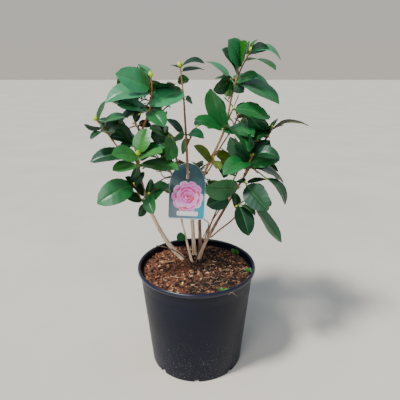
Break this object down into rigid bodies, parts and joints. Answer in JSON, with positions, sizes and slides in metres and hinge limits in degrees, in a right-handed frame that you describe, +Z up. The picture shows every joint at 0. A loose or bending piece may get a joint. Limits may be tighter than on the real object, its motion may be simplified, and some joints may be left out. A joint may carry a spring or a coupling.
{
  "type": "camellia shrub in a nursery pot",
  "caption": "Young evergreen camellia shrub with slender stems and glossy leaves, in a round black nursery pot filled with bark potting mix, with a picture label hung on one stem.",
  "frame": {"origin": "middle of the pot's flat underside", "axes": "+Z up along the stems, -Y towards the viewer of the picture, +X to its right"},
  "size_m": [0.493, 0.3723, 0.805],
  "materials": {
    "pot_plastic": "satin black, dusty near the foot",
    "potting_mix": "rough, moist bark crumbs with pale chips and white grains",
    "bark": "smooth tan bark, reddish brown on young wood",
    "dead_bark": "dry, dull",
    "label_card": "printed plastic card, slight gloss",
    "foliage": "glossy dark green leaves, paler underneath, with yellow-green buds"
  },
  "bodies": {
    "root": {"pot": "pot_plastic", "potting_mix": "potting_mix", "plant_label": "label_card", "stem_left": "bark", "stem_middle": "bark", "stem_right": "bark", "stem_tall": "bark", "stem_thin": "bark", "stem_back": "bark", "bough_left_outer": "bark", "bough_low_inner": "bark", "bough_low_outer": "bark", "bough_low_rear": "bark", "bough_back_right": "bark", "dead_twig_left": "dead_bark", "dead_twig_right": "dead_bark", "leaves_left_top": "foliage", "leaves_left_outer": "foliage", "leaves_left_middle": "foliage", "leaves_left_low": "foliage", "leaves_middle_left": "foliage", "leaves_middle_top": "foliage", "leaves_middle_right": "foliage", "leaves_right_top": "foliage", "leaves_tall_side": "foliage", "leaves_tall_inner": "foliage", "leaves_right_outer": "foliage", "leaves_right_middle": "foliage", "leaves_low_inner": "foliage", "leaves_low_outer": "foliage", "leaves_left_rear": "foliage", "leaves_back_left_low": "foliage", "leaves_back_left_top": "foliage", "leaves_back_middle": "foliage", "leaves_back_right_low": "foliage", "leaves_back_right_top": "foliage", "leaves_right_rear": "foliage"}
  },
  "joints": []
}
